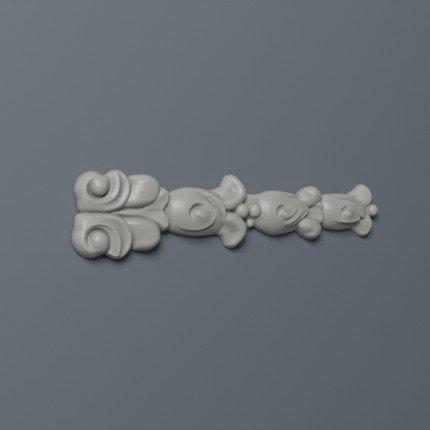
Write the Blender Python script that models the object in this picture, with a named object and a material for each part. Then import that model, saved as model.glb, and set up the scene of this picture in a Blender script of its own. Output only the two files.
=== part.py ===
"""A drop onlay: one cast applied ornament for a flat surface, about 275 mm long.

A mirrored pair of scrolls opens it, with two lobes and a calyx beyond them. Three husks follow, each smaller
than the last. Every husk has wrapped petals and an eye, and ends in a pair of flared petals. A bead closes
the drop.

The onlay lies along X with its flat back on the plane Y = 0, and its carving faces -Y.
The carving is one height above that back, worked out form by form from the sizes below.
"""
import bmesh
import bpy
import numpy as np

MM = 0.001

# All sizes are in millimetres: x along the onlay, z across it, and heights measured from the flat back.
BLANK_X = (-140.0, 138.0)
BLANK_Z = (-34.0, 34.0)
BLANK_STEP = 0.5
BELOW_BACK = -3.0
WALL_SLOPE = 3.0
WALL_TOP = 1.0
TRIANGLES = 8400

CAST_COLOUR = (0.40, 0.41, 0.385, 1.0)
CAST_ROUGHNESS = 0.5

# Scroll head: a pair of volutes, mirrored about the head's axis. Rings run round each volute's eye. A row
# gives one ring's radius or height at the turns, which are in degrees clockwise from the side that faces
# along the onlay. The eye itself stands a little off the rings' middle.
HEAD_AXIS = 0.3
LOWER_SCALE = 1.075
LOWER_PIVOT = -108.0
EYE = (-120.3, 18.7)
EYE_HEIGHT = 14.4
EYE_RADIUS = (9.2, 8.7, 7.8, 7.2, 6.8, 6.5, 6.5, 6.7, 7.0, 7.3, 7.7, 8.3, 8.9, 9.2)
EYE_BASE = 6.0
EYE_FILLET = (0.5, 3.2)
EYE_TOP = (1.6, -0.4)
EYE_CLEARS = (250.0, 300.0)
TURN = (-50, -40, -20, 0, 30, 60, 90, 120, 145, 170, 200, 230, 270, 310)
GROOVE_RADIUS = (11.2, 10.6, 9.5, 8.9, 8.3, 7.8, 7.5, 7.0, 6.7, 6.7, 6.8, 6.8, 6.8, 6.4)
GROOVE_HEIGHT = (6.0, 6.8, 7.4, 7.6, 7.2, 6.8, 6.8, 7.2, 7.9, 8.8, 10.3, 11.3, 10.4, 8.0)
LIP_HEIGHT = (8.2, 8.9, 9.6, 9.8, 9.6, 9.4, 9.6, 10.2, 10.6, 11.2, 11.6, 11.0, 9.6, 8.0)
RIDGE_RADIUS = (19.6, 18.8, 16.8, 15.6, 14.2, 12.3, 11.3, 10.9, 10.9, 10.8, 10.2, 9.7, 9.6, 9.6)
RIDGE_HEIGHT = (7.4, 8.8, 11.0, 11.7, 11.9, 11.8, 11.4, 11.2, 11.2, 11.2, 11.2, 10.4, 9.2, 8.0)
VALLEY_RADIUS = (20.6, 20.3, 20.2, 19.9, 18.4, 15.4, 12.9, 12.2, 12.2, 11.9, 11.0, 10.4, 10.2, 10.2)
VALLEY_HEIGHT = (7.2, 8.0, 8.9, 9.2, 9.6, 10.2, 10.8, 10.9, 11.0, 10.9, 10.8, 10.0, 8.8, 7.6)
CREST_RADIUS = (21.6, 21.6, 23.0, 23.8, 22.2, 18.6, 15.6, 14.0, 13.6, 13.2, 11.8, 10.8, 10.8, 10.8)
CREST_HEIGHT = (7.4, 8.2, 9.8, 10.8, 11.0, 10.8, 10.0, 10.2, 10.3, 10.2, 10.2, 9.4, 8.4, 7.4)
RIM_RADIUS = (11.8, 19.2, 25.8, 28.2, 27.0, 22.6, 20.5, 20.8, 16.1, 15.0, 13.5, 12.3, 11.1, 10.4)
RIM_HEIGHT = (6.4, 6.8, 7.8, 9.0, 9.2, 8.4, 6.4, 5.0, 5.4, 6.2, 6.6, 6.6, 6.4, 6.2)
GROOVE_FADE = (45.0, 120.0)
LIP_OFFSET = (1.4, 1.4, 1.4, 1.4, 1.6, 2.0, 2.4, 3.1, 3.7, 3.8, 3.4, 2.6, 1.9, 1.6)
RING_GAP = 0.5
HEAD_ROLL = 5.2
CUT_DROP = 3.0
CUT_ROLL = 2.2

# The pair of lobes beyond the scrolls, mirrored about the same axis.
LOBE_OUTLINE = ((-106, 2.5), (-95, 2.4), (-86, 2.6), (-76.2, 4.6), (-70.4, 9.4), (-68.4, 16.2),
                (-70.6, 23.2), (-78.0, 27.6), (-86, 27.8), (-93, 26.0), (-101, 18))
LOBE_SPINE = ((-106, 2.0), (-96, 5.6), (-87, 10.0), (-81.5, 16.0), (-80.0, 24.0), (-80.0, 34.0))
LOBE_LOW = 7.4
LOBE_RISE = 5.2
LOBE_FALL = (0.034, 0.014)
LOBE_ROLL = 6.6
LOBE_GROWS = (-106.0, 18.0)

# The calyx between and beyond the lobes.
CALYX = {
    "outline": ((-110, 2.2), (-96, 4.0), (-84, 6), (-76, 14), (-72.5, 19), (-67.5, 19.4), (-63.0, 16.6),
                (-61.2, 12), (-62.2, 6.6), (-65.6, 1.8), (-62.6, -3.2), (-61.2, -8), (-63.2, -12.4),
                (-68.5, -14.0), (-75, -10), (-84, -6), (-96, -4), (-110, -2.0)),
    "height": (8.6, 10.6),
    "x": (-80.0, -65.0),
    "roll": 4.6,
    "ridges": (
        (1.3, 3.0, ((-82, 6), (-76, 10.0), (-70, 13.6), (-63, 16.5))),
        (1.3, 3.0, ((-82, -3.4), (-76, -5.6), (-70, -8.4), (-63, -11.5))),
        (-0.9, 2.2, ((-88, 0.4), (-78, 0.6), (-70, 0.9), (-62, 1.2))),
    ),
}

# Each husk: stations along x with the upper and lower edge and the crown's height there, then what is cut
# into it or stands up from it. A ridge, or a furrow where its height is negative, is (height, reach, line).
# A lap is the free edge of a petal that wraps the husk: (height, reach, line). A mound stands in the husk's
# eye: (height, x, z, reach along, reach across, lean in degrees). A leaf lies on the husk and fades out
# towards its left: (height, roll, x where it starts and where it is full, outline).
HUSKS = (
    {
        "x": (-66, -61.5, -56, -48, -38, -28, -18, -12),
        "upper": (12.5, 14.6, 16.6, 18.9, 19.0, 17.3, 15.0, 11.0),
        "lower": (-11.0, -13.2, -15.2, -17.0, -18.1, -17.6, -16.0, -13.0),
        "crown": (7.0, 11.0, 14.0, 16.0, 16.0, 14.0, 10.8, 8.5),
        "ridges": (
            (-3.8, 2.1, ((-44.4, -6.8), (-47.2, -3.6), (-47.7, 0.0), (-45.4, 3.2), (-41.8, 4.4),
                         (-36.8, 3.4), (-33.4, 0.4))),
            (-1.5, 1.3, ((-43.0, 14.6), (-34.3, 10.4), (-29.0, 4.6), (-26.0, 0.0))),
            (-1.3, 1.1, ((-33.0, 15.0), (-26.4, 10.8), (-21.8, 4.8), (-18.4, -2.4))),
        ),
        "mounds": ((1.8, -39.0, -2.6, 6.4, 3.2, -30.0),),
        "laps": (
            (2.4, 4.5, ((-60.0, -9.6), (-54.0, -12.2), (-48.0, -13.6), (-43.5, -13.9), (-38.7, -13.4),
                        (-33.3, -11.4), (-29.0, -8.1), (-26.8, -3.9), (-26.6, 0.3), (-28.4, 3.6),
                        (-34.3, 10.2), (-40.2, 13.5))),
        ),
        "leaves": (
            (3.2, 2.8, (-38.0, -30.0), ((-40.0, 15.6), (-34.0, 13.0), (-29.4, 9.9), (-25.1, 4.7),
                                        (-20.8, -1.9), (-18.4, -5.8), (-16.4, -4.2), (-15.8, -0.2),
                                        (-16.4, 4.5), (-19.6, 9.5), (-25.4, 13.7), (-32.0, 16.4))),
        ),
    },
    {
        "x": (4, 9, 15, 20, 26, 32, 40, 50, 58, 66),
        "upper": (13.6, 14.0, 13.7, 14.4, 16.2, 16.9, 16.5, 14.8, 13.0, 10.5),
        "lower": (-8.0, -10.0, -12.2, -14.6, -17.2, -18.6, -18.2, -16.4, -14.5, -12.0),
        "crown": (8.0, 8.6, 10.2, 13.8, 15.6, 15.8, 13.8, 10.6, 9.0, 8.0),
        "ridges": (
            (-2.8, 1.5, ((39.0, 2.0), (35.9, 3.6), (32.5, 3.4), (29.8, 1.4), (29.1, -1.8), (31.1, -5.2))),
            (-1.1, 0.9, ((49.5, -7.4), (53.3, -4.6), (58.2, -0.6), (60.5, 3.0))),
            (-0.5, 2.2, ((10.4, 17.5), (12.9, 13.2), (16.0, 9.0), (17.7, 4.9), (18.2, 0.0), (17.0, -6.0))),
        ),
        "mounds": ((2.0, 35.2, -2.2, 4.4, 2.6, -25.0),),
        "laps": (
            (1.5, 3.0, ((32.0, -7.2), (35.7, -6.3), (40.5, -4.4), (44.6, -1.5), (48.9, 2.7), (50.2, 6.5))),
            (1.9, 3.0, ((33.0, -11.9), (37.1, -11.1), (41.8, -9.6), (47.2, -6.7), (51.2, -2.3), (51.8, 2.6),
                        (50.9, 8.1), (48.0, 12.0))),
        ),
        "leaves": (
            (2.6, 2.4, (32.0, 48.0), ((26.0, 14.6), (35.4, 14.0), (43.1, 11.4), (49.5, 11.4), (55.3, 10.1),
                                      (60.2, 6.6), (63.0, 2.6), (62.0, -1.6), (57.6, -5.2), (51.0, -9.6),
                                      (46.0, -11.8), (36.0, -13.2), (26.0, -13.0))),
        ),
    },
    {
        "x": (75, 78, 82, 88, 98, 107, 114, 120, 126),
        "upper": (11.0, 12.4, 13.6, 14.3, 14.5, 14.0, 11.5, 9.0, 6.0),
        "lower": (-11.5, -12.6, -13.8, -15.0, -15.7, -15.0, -12.5, -10.0, -7.0),
        "crown": (8.0, 10.6, 12.8, 13.6, 13.0, 10.8, 9.4, 8.2, 6.5),
        "ridges": (
            (-2.4, 1.3, ((100.3, 1.2), (97.5, 2.4), (94.5, 1.6), (92.5, -0.4), (92.1, -3.2), (94.1, -6.0))),
            (-2.2, 0.9, ((109.0, -2.0), (112.6, -5.0), (115.6, -7.0), (121.0, -7.4), (126.0, -6.4))),
        ),
        "mounds": ((1.7, 98.0, -2.8, 3.8, 2.4, -30.0),),
        "laps": (
            (1.6, 2.6, ((82.0, -8.2), (92.0, -9.6), (101.1, -10.2), (106.8, -9.8), (111.2, -8.7),
                        (113.6, -4.8), (112.8, 0.0), (109.0, 4.0))),
        ),
        "leaves": (
            (3.0, 2.0, (82.0, 106.0), ((84.0, 10.6), (94.0, 10.2), (101.0, 9.4), (108.8, 7.2),
                                       (116.1, 3.0), (119.0, -2.4), (121.2, -6.6), (117.5, -7.6),
                                       (114.4, -6.6), (112.6, -8.6), (106.8, -10.4), (101.0, -10.8),
                                       (94.0, -10.8), (84.0, -10.0))),
        ),
    },
)
HUSK_EDGE = 0.5
LAP_FADE = 0.3
RIDGE_FADE = 0.45
LAP_STEP = 0.9

# Each pair of flared petals, mirrored about its own axis: the upper petal's outline and crest, the crest's
# height with the dish's depth and reach short of it and the fall beyond it, its roll, where along x the
# petal rises out of the husk, with how far it is sunk there, and where across it begins to fall to its tip,
# with that fall. Beyond is on the left of the crest's run. A fall grows with the square of the distance.
FLARES = (
    {
        "axis": 0.5,
        "outline": ((-26, 14), (-20.2, 17.2), (-15.7, 19.3), (-13.2, 23.2), (-11.0, 26.6), (-6.4, 28.4),
                    (-2.2, 27.4), (1.6, 23.4), (4.2, 18.8), (5.6, 13.0), (5.0, 9.0), (1.0, 3.0),
                    (-6.0, -0.5), (-14.0, -1.5), (-24.0, 0.0)),
        "crest": ((-12.5, 35.0), (-9.4, 29.8), (-6.3, 25.2), (-3.6, 21.2), (-2.2, 17.4), (-2.6, 13.6),
                  (-5.8, 9.6), (-10.4, 7.0), (-16.0, 5.6), (-28.0, 5.0)),
        "height": (13.6, 5.0, 4.4, 0.09),
        "roll": 4.0,
        "root": (-27.0, -11.0, 4.0),
        "tip": (10.0, 0.022),
    },
    {
        "axis": -1.1,
        "outline": ((50, 9), (56, 15.6), (60.6, 18.8), (65.5, 21.0), (71.1, 21.6), (75.0, 19.8),
                    (77.0, 16.8), (78.0, 12.6), (76.8, 8.4), (71, 5.0), (63, 2.5), (54, 2)),
        "crest": ((61.0, 29.0), (64.0, 23.4), (66.8, 18.6), (67.2, 14.4), (64.4, 11.6), (58.5, 10.4),
                  (46.0, 9.2)),
        "height": (12.4, 4.0, 4.6, 0.05),
        "roll": 3.6,
        "root": (50.0, 62.0, 3.5),
        "tip": (11.0, 0.04),
    },
    {
        "axis": 0.3,
        "outline": ((107, 12), (111.4, 15.5), (115.5, 18.2), (118.9, 20.7), (122.9, 21.8), (125.6, 20.6),
                    (127.6, 17.6), (129.0, 13), (128.8, 8), (126, 3.4), (120.3, 1.0), (112, 1.0)),
        "crest": ((125.2, 30.0), (126.0, 22.0), (127.0, 17.4), (127.0, 12.6), (122.0, 9.0), (104.0, 7.0)),
        "height": (9.8, 1.2, 6.0, 0.05),
        "roll": 2.8,
        "root": (110.0, 124.0, 4.5),
        "tip": (8.0, 0.022),
    },
)

# The flower centre between each pair of flared petals: its outline, its height at its root and at its rim,
# where along x those lie, and its roll.
CENTRES = (
    {
        "outline": ((-8.4, 0.8), (-4.6, 3.6), (-1.0, 5.6), (2.4, 5.4), (4.4, 1.0), (2.4, -3.2),
                    (-1.0, -3.8), (-4.6, -1.8)),
        "height": (12.0, 12.0),
        "x": (-8.4, 4.4),
        "roll": 5.0,
        "ridges": (),
    },
    {
        "outline": ((57, 4), (64, 5.4), (70, 8.6), (74.6, 8.8), (78.0, 4.8), (77.0, 0.2), (78.2, -4.6),
                    (76.8, -9.8), (72, -11.4), (64, -8.4), (57, -6)),
        "height": (8.4, 10.2),
        "x": (64.0, 76.0),
        "roll": 3.0,
        "ridges": (
            (1.0, 2.0, ((62, 4.6), (68, 5.8), (74, 5.4), (80, 5))),
            (1.0, 2.0, ((62, -4.4), (68, -5.2), (74, -6.2), (80, -7))),
        ),
    },
    {
        "outline": ((112, 7), (118, 7.6), (124, 7.4), (129.4, 5.6), (128.4, -2.0), (129.0, -6.6),
                    (124, -8.6), (112, -7)),
        "height": (6.4, 7.4),
        "x": (116.0, 127.0),
        "roll": 3.0,
        "ridges": (),
    },
)

# Beads: x, z, radius, and the height of the bead's middle.
BEADS = ((-0.7, 1.0, 6.1, 8.2), (11.4, 1.0, 5.9, 7.0), (9.2, -8.4, 3.8, 3.8), (130.8, 0.3, 5.2, 4.5))


def swell(t):
    """Rises from 0 to 1, level at both ends."""
    t = np.clip(t, 0.0, 1.0)
    return t * t * (3.0 - 2.0 * t)


def hollow(t):
    """Rises from 0 to 1, level at the start and steepest at the end."""
    return np.clip(t, 0.0, 1.0) ** 2


def scoop(t):
    """Rises from 0 to 1, steepest at the start and level at the end."""
    return 1.0 - hollow(1.0 - t)


def quarter(t):
    """Rises from 0 to 1 as a quarter circle, upright at the start and level at the end."""
    return np.sqrt(1.0 - (1.0 - np.clip(t, 0.0, 1.0)) ** 2)


def soft_max(a, b, fillet):
    """The higher of two heights, with the crease between them filled."""
    share = np.clip(0.5 + 0.5 * (a - b) / fillet, 0.0, 1.0)
    return b + (a - b) * share + fillet * share * (1.0 - share)


def shoulder(t):
    """Rises from 0 to 1 a little more steeply towards the end."""
    return np.clip(t, 0.0, 1.0) ** 1.5


def through(x, knots, values):
    """A smooth curve through the values at the knots, level beyond both ends."""
    knots, values = np.asarray(knots, float), np.asarray(values, float)
    slope = np.gradient(values, knots)
    slope[0] = slope[-1] = 0.0
    x = np.clip(x, knots[0], knots[-1])
    i = np.clip(np.searchsorted(knots, x) - 1, 0, len(knots) - 2)
    width = knots[i + 1] - knots[i]
    t = (x - knots[i]) / width
    level = values[i] + (values[i + 1] - values[i]) * swell(t)
    return level + width * (slope[i] * t * (1 - t) ** 2 - slope[i + 1] * t * t * (1 - t))


def smooth_line(points, closed=False, steps=8):
    """A polyline along the smooth curve through the points."""
    p = np.asarray(points, float)
    if closed:
        p = np.vstack([p[-1:], p, p[:2]])
    else:
        p = np.vstack([2 * p[:1] - p[1:2], p, 2 * p[-1:] - p[-2:-1]])
    t = np.arange(steps)[:, None] / steps
    runs = []
    for before, a, b, after in zip(p[:-3], p[1:-2], p[2:-1], p[3:]):
        bend = 2 * before - 5 * a + 4 * b - after
        twist = 3 * a - before - 3 * b + after
        runs.append(a + 0.5 * ((b - before) * t + bend * t**2 + twist * t**3))
    line = np.vstack(runs)
    return line if closed else np.vstack([line, p[-2:-1]])


def to_line(x, z, line):
    """Distance from each place to a polyline, its side (1 on the left) and its share of the run."""
    best = np.full(x.shape, np.inf)
    side = np.ones(x.shape)
    share = np.zeros(x.shape)
    steps = np.diff(line, axis=0)
    lengths = np.hypot(*steps.T)
    done = 0.0
    for (ax, az), (dx, dz), length in zip(line[:-1], steps, lengths):
        px, pz = x - ax, z - az
        t = np.clip((px * dx + pz * dz) / length**2, 0.0, 1.0)
        gap = (px - t * dx) ** 2 + (pz - t * dz) ** 2
        nearer = gap < best
        best = np.where(nearer, gap, best)
        side = np.where(nearer, np.sign(dx * pz - dz * px), side)
        share = np.where(nearer, (done + t * length) / lengths.sum(), share)
        done += length
    return np.sqrt(best), side, share


def into_outline(x, z, points):
    """Signed distance into the smooth closed outline through the points, positive inside."""
    line = smooth_line(points, closed=True)
    line = np.vstack([line, line[:1]])
    distance, _, _ = to_line(x, z, line)
    crossings = np.zeros(x.shape, int)
    for (ax, az), (bx, bz) in zip(line[:-1], line[1:]):
        if az != bz:
            crossings += ((az > z) != (bz > z)) & (x < ax + (bx - ax) * (z - az) / (bz - az))
    return np.where(crossings % 2 == 1, distance, -distance)


def rolled(depth_in, top, roll, edge=WALL_TOP):
    """A form's height: a wall up to its edge, then a quarter round of this width up to its top."""
    return edge + (top - edge) * quarter(depth_in / roll) + WALL_SLOPE * np.minimum(depth_in, 0.0)


def scroll(x, z):
    """The upper volute: rings of height round its eye."""

    def round_about(cx, cz):
        dx, dz = x - cx, z - cz
        return np.hypot(dx, dz), (np.degrees(np.arctan2(-dz, dx)) - TURN[0]) % 360.0 + TURN[0]

    radius, turn = round_about(*EYE)

    def ring(values):
        return through(turn, TURN, values)

    fade = swell((turn - GROOVE_FADE[0]) / (GROOVE_FADE[1] - GROOVE_FADE[0]))

    def ridge_side(t):
        return hollow(t) * (1 - fade) + swell(t) * fade

    groove = ring(GROOVE_RADIUS)
    lip = groove + ring(LIP_OFFSET)
    ridge = np.maximum(ring(RIDGE_RADIUS), lip + RING_GAP)
    valley = np.maximum(ring(VALLEY_RADIUS), ridge + RING_GAP)
    crest = np.maximum(ring(CREST_RADIUS), valley + RING_GAP)
    rim = np.maximum(ring(RIM_RADIUS), crest + RING_GAP)
    radii = (groove, lip, ridge, valley, crest, rim)
    rows = (GROOVE_HEIGHT, LIP_HEIGHT, RIDGE_HEIGHT, VALLEY_HEIGHT, CREST_HEIGHT, RIM_HEIGHT)
    heights = [ring(row) for row in rows]
    eases = (swell, ridge_side, scoop, swell, shoulder)
    height = EYE_BASE + (heights[0] - EYE_BASE) * swell(radius / groove)
    for i, ease in enumerate(eases):
        t = (radius - radii[i]) / (radii[i + 1] - radii[i])
        height = height + (heights[i + 1] - heights[i]) * ease(t)
    from_cut = radius * np.sin(np.radians(np.clip(turn - TURN[0], 0.0, 90.0)))
    opened = swell((radius - groove) / (lip - groove))
    height = height - opened * CUT_DROP * (1 - quarter(from_cut / CUT_ROLL))
    height = rolled(ring(RIM_RADIUS) - radius, height, HEAD_ROLL)
    out, eye_turn = round_about(EYE[0] + EYE_TOP[0], EYE[1] + EYE_TOP[1])
    eye_radius = through(eye_turn, TURN, EYE_RADIUS)
    eye = EYE_BASE + (EYE_HEIGHT - EYE_BASE) * quarter(1.0 - out / eye_radius)
    eye -= WALL_SLOPE * np.maximum(out - eye_radius, 0.0)
    fillet = fade * (1 - swell((turn - EYE_CLEARS[0]) / (EYE_CLEARS[1] - EYE_CLEARS[0])))
    return soft_max(height, eye, EYE_FILLET[0] + (EYE_FILLET[1] - EYE_FILLET[0]) * fillet)


def lobe(x, z):
    """The upper lobe, highest along its spine."""
    from_spine, side, _ = to_line(x, z, smooth_line(LOBE_SPINE))
    fall = np.where(side > 0, LOBE_FALL[0], LOBE_FALL[1])
    grown = swell((x - LOBE_GROWS[0]) / LOBE_GROWS[1])
    top = LOBE_LOW + LOBE_RISE * grown - fall * from_spine**2
    return rolled(into_outline(x, z, LOBE_OUTLINE), top, LOBE_ROLL)


def line_fade(share, reach):
    """1 along a line, falling to 0 over this share of it at both ends."""
    return swell(share / reach) * swell((1 - share) / reach)


def ridge(x, z, height, reach, points):
    """A soft ridge along a line, or a furrow where its height is negative."""
    distance, _, share = to_line(x, z, smooth_line(points))
    return height * line_fade(share, RIDGE_FADE) * np.exp(-((distance / reach) ** 2))


def lap(x, z, height, reach, points):
    """A petal's free edge: the surface on the left of the line swells up to it and drops beyond it."""
    distance, side, share = to_line(x, z, smooth_line(points))
    swollen = height * np.exp(-distance / reach) * swell(distance / LAP_STEP + 0.2)
    dropped = -0.5 * height * np.exp(-((distance / (0.35 * reach)) ** 2))
    return line_fade(share, LAP_FADE) * np.where(side > 0, swollen, dropped)


def mound(x, z, height, cx, cz, along, across, lean):
    """A soft oval rise, its length leaning up from the x axis."""
    turn = np.radians(lean)
    u = (x - cx) * np.cos(turn) + (z - cz) * np.sin(turn)
    v = (z - cz) * np.cos(turn) - (x - cx) * np.sin(turn)
    return height * np.exp(-((u / along) ** 2) - (v / across) ** 2)


def husk(x, z, form):
    """A long bud, half round across, with its eye and wrapped petals."""
    upper = through(x, form["x"], form["upper"])
    lower = through(x, form["x"], form["lower"])
    crown = through(x, form["x"], form["crown"])
    half = 0.5 * (upper - lower)
    out = np.abs(z - 0.5 * (upper + lower)) / half
    height = HUSK_EDGE + (crown - HUSK_EDGE) * np.sqrt(1.0 - np.clip(out, 0.0, 1.0) ** 2)
    height -= WALL_SLOPE * np.maximum(out - 1.0, 0.0) * half
    height -= WALL_SLOPE * np.maximum(np.maximum(form["x"][0] - x, x - form["x"][-1]), 0.0)
    for rise, reach, points in form["ridges"]:
        height += ridge(x, z, rise, reach, points)
    for place in form["mounds"]:
        height += mound(x, z, *place)
    for rise, reach, points in form["laps"]:
        height += lap(x, z, rise, reach, points)
    for rise, roll, (start, full), points in form["leaves"]:
        height += rise * scoop(into_outline(x, z, points) / roll) * swell((x - start) / (full - start))
    return height


def petal(x, z, form):
    """A petal that rises from its root to its rim."""
    root, rim = form["height"]
    start, end = form["x"]
    top = root + (rim - root) * swell((x - start) / (end - start))
    for rise, reach, points in form["ridges"]:
        top += ridge(x, z, rise, reach, points)
    return rolled(into_outline(x, z, form["outline"]), top, form["roll"])


def flare(x, z, form):
    """A flared petal: dished up to its crest, and falling away beyond it."""
    crest, dish, reach, fall = form["height"]
    start, end, sink = form["root"]
    distance, side, _ = to_line(x, z, smooth_line(form["crest"]))
    dished = dish * (1.0 - np.exp(-((distance / reach) ** 2)))
    fallen = np.where(side > 0, fall * distance**2, dished)
    top = crest - fallen - sink * (1.0 - swell((x - start) / (end - start)))
    bend, slope = form["tip"]
    top -= slope * np.maximum(z - bend, 0.0) ** 2
    return rolled(into_outline(x, z, form["outline"]), top, form["roll"])


def bead(x, z, cx, cz, radius, middle):
    """A ball whose middle stands at this height."""
    out = np.hypot(x - cx, z - cz)
    crown = np.sqrt(np.clip(radius**2 - out**2, 0.0, None))
    return middle + crown - WALL_SLOPE * np.maximum(out - radius, 0.0)


def relief(x, z):
    """The carving's height above the back, in millimetres."""
    from_axis = np.abs(z - HEAD_AXIS)
    scale = np.where(z < HEAD_AXIS, LOWER_SCALE, 1.0)
    forms = [scroll((x - LOWER_PIVOT) / scale + LOWER_PIVOT, from_axis / scale), lobe(x, from_axis)]
    forms.append(petal(x, z, CALYX))
    for form in HUSKS:
        forms.append(husk(x, z, form))
    for form in FLARES:
        for side in (1, -1):
            forms.append(flare(x, side * (z - form["axis"]), form))
    for form in CENTRES:
        forms.append(petal(x, z, form))
    for place in BEADS:
        forms.append(bead(x, z, *place))
    return np.maximum.reduce(forms)


def cast_material():
    """Satin warm-grey casting resin."""
    material = bpy.data.materials.new("cast_resin")
    material.use_nodes = True
    shader = material.node_tree.nodes["Principled BSDF"]
    shader.inputs["Base Color"].default_value = CAST_COLOUR
    shader.inputs["Roughness"].default_value = CAST_ROUGHNESS
    shader.inputs["Metallic"].default_value = 0.0
    return material


def carve_blank(mesh):
    """Raises the carving out of a flat blank and drops the blank's waste."""
    count_x = round((BLANK_X[1] - BLANK_X[0]) / BLANK_STEP)
    count_z = round((BLANK_Z[1] - BLANK_Z[0]) / BLANK_STEP)
    blank = bmesh.new()
    bmesh.ops.create_grid(blank, x_segments=count_x, y_segments=count_z, size=0.5)
    flat = np.array([vert.co[:2] for vert in blank.verts])
    x = (flat[:, 0] + 0.5) * (BLANK_X[1] - BLANK_X[0]) + BLANK_X[0]
    z = (flat[:, 1] + 0.5) * (BLANK_Z[1] - BLANK_Z[0]) + BLANK_Z[0]
    height = np.maximum(relief(x, z), BELOW_BACK)
    for vert, vx, vy, vz in zip(blank.verts, x, -height, z):
        vert.co = (vx * MM, vy * MM, vz * MM)
    lowest = -BELOW_BACK * MM
    waste = [face for face in blank.faces if all(vert.co.y > 0.99 * lowest for vert in face.verts)]
    bmesh.ops.delete(blank, geom=waste, context="FACES")
    blank.to_mesh(mesh)
    blank.free()


def thinned(owner):
    """The object's mesh with fewer triangles where the carving is plain."""
    modifier = owner.modifiers.new("thin", "DECIMATE")
    modifier.ratio = TRIANGLES / (2 * len(owner.data.polygons))
    modifier.use_collapse_triangulate = True
    graph = bpy.context.evaluated_depsgraph_get()
    mesh = bpy.data.meshes.new_from_object(owner.evaluated_get(graph))
    owner.modifiers.remove(modifier)
    return mesh


def close_back(mesh):
    """Cuts the carving's walls off flat at the back and closes it there."""
    body = bmesh.new()
    body.from_mesh(mesh)
    everything = body.verts[:] + body.edges[:] + body.faces[:]
    bmesh.ops.bisect_plane(
        body, geom=everything, dist=1e-7, plane_co=(0, 0, 0), plane_no=(0, 1, 0), clear_outer=True
    )
    rim = [edge for edge in body.edges if edge.is_boundary]
    bmesh.ops.contextual_create(body, geom=rim)
    bmesh.ops.triangulate(body, faces=[face for face in body.faces if len(face.verts) > 3])
    bmesh.ops.recalc_face_normals(body, faces=body.faces[:])
    body.to_mesh(mesh)
    body.free()


def build_onlay():
    """The one casting, in a collection named for it."""
    for old in list(bpy.data.objects):
        bpy.data.objects.remove(old, do_unlink=True)
    parts = bpy.data.collections.new("drop_onlay")
    bpy.context.scene.collection.children.link(parts)
    onlay = bpy.data.objects.new("drop_onlay", bpy.data.meshes.new("drop_onlay"))
    parts.objects.link(onlay)
    carve_blank(onlay.data)
    onlay.data = thinned(onlay)
    close_back(onlay.data)
    onlay.data.shade_smooth()
    onlay.data.materials.append(cast_material())


build_onlay()
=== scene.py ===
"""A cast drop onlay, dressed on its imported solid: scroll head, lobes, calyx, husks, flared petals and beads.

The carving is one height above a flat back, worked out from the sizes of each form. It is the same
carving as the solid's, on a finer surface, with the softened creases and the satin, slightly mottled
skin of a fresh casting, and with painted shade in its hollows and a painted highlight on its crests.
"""

import bmesh
import bpy
import numpy as np
from mathutils import Matrix, Vector


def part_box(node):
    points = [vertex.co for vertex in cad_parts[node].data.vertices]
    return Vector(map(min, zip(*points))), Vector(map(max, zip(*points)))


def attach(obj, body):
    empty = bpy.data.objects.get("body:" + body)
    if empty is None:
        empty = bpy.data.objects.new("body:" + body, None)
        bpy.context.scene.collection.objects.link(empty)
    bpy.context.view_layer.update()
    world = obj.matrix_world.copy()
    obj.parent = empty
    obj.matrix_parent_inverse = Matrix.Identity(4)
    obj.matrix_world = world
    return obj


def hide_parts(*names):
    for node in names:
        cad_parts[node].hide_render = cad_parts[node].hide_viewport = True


bl_info = {
    "name": "Drop Onlay",
    "version": (1, 0, 0),
    "blender": (4, 5, 0),
    "location": "3D View > Sidebar > Onlay",
    "description": "Builds a cast drop onlay and the plain stage that it is shown on",
    "category": "Add Mesh",
}

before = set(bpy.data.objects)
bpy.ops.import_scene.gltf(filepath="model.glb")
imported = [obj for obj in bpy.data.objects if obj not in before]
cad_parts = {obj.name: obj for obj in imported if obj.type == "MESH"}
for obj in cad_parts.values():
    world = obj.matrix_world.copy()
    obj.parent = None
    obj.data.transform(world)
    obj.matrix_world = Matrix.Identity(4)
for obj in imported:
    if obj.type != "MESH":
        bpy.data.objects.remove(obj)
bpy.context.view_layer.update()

MM = 0.001
NODE = "drop_onlay"

# All sizes of the carving are in millimetres: x along the onlay, z across it, and heights from the flat
# back. Below a form's edge its wall slopes on down past the back, to the blank's lowest height.
BLANK_X = (-140.0, 138.0)
BLANK_Z = (-34.0, 34.0)
BLANK_MARGIN = 4
BELOW_BACK = -3.0
WALL_SLOPE = 3.0
WALL_TOP = 1.0

# Scroll head: a pair of volutes, mirrored about the head's axis. Rings run round each volute's eye. A row
# gives one ring's radius or height at the turns, which are in degrees clockwise from the side that faces
# along the onlay. The eye itself stands a little off the rings' middle. The first fillet fills the crease at
# its foot where the groove is open, and the second where the groove has faded, until the last turns.
HEAD_AXIS = 0.3
LOWER_SCALE = 1.075
LOWER_PIVOT = -108.0
EYE = (-120.3, 18.7)
EYE_HEIGHT = 14.4
EYE_RADIUS = (9.2, 8.7, 7.8, 7.2, 6.8, 6.5, 6.5, 6.7, 7.0, 7.3, 7.7, 8.3, 8.9, 9.2)
EYE_BASE = 6.0
EYE_FILLET = (0.5, 3.2)
EYE_TOP = (1.6, -0.4)
EYE_CLEARS = (250.0, 300.0)
TURN = (-50, -40, -20, 0, 30, 60, 90, 120, 145, 170, 200, 230, 270, 310)
GROOVE_RADIUS = (11.2, 10.6, 9.5, 8.9, 8.3, 7.8, 7.5, 7.0, 6.7, 6.7, 6.8, 6.8, 6.8, 6.4)
GROOVE_HEIGHT = (6.0, 6.8, 7.4, 7.6, 7.2, 6.8, 6.8, 7.2, 7.9, 8.8, 10.3, 11.3, 10.4, 8.0)
LIP_HEIGHT = (8.2, 8.9, 9.6, 9.8, 9.6, 9.4, 9.6, 10.2, 10.6, 11.2, 11.6, 11.0, 9.6, 8.0)
RIDGE_RADIUS = (19.6, 18.8, 16.8, 15.6, 14.2, 12.3, 11.3, 10.9, 10.9, 10.8, 10.2, 9.7, 9.6, 9.6)
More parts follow.
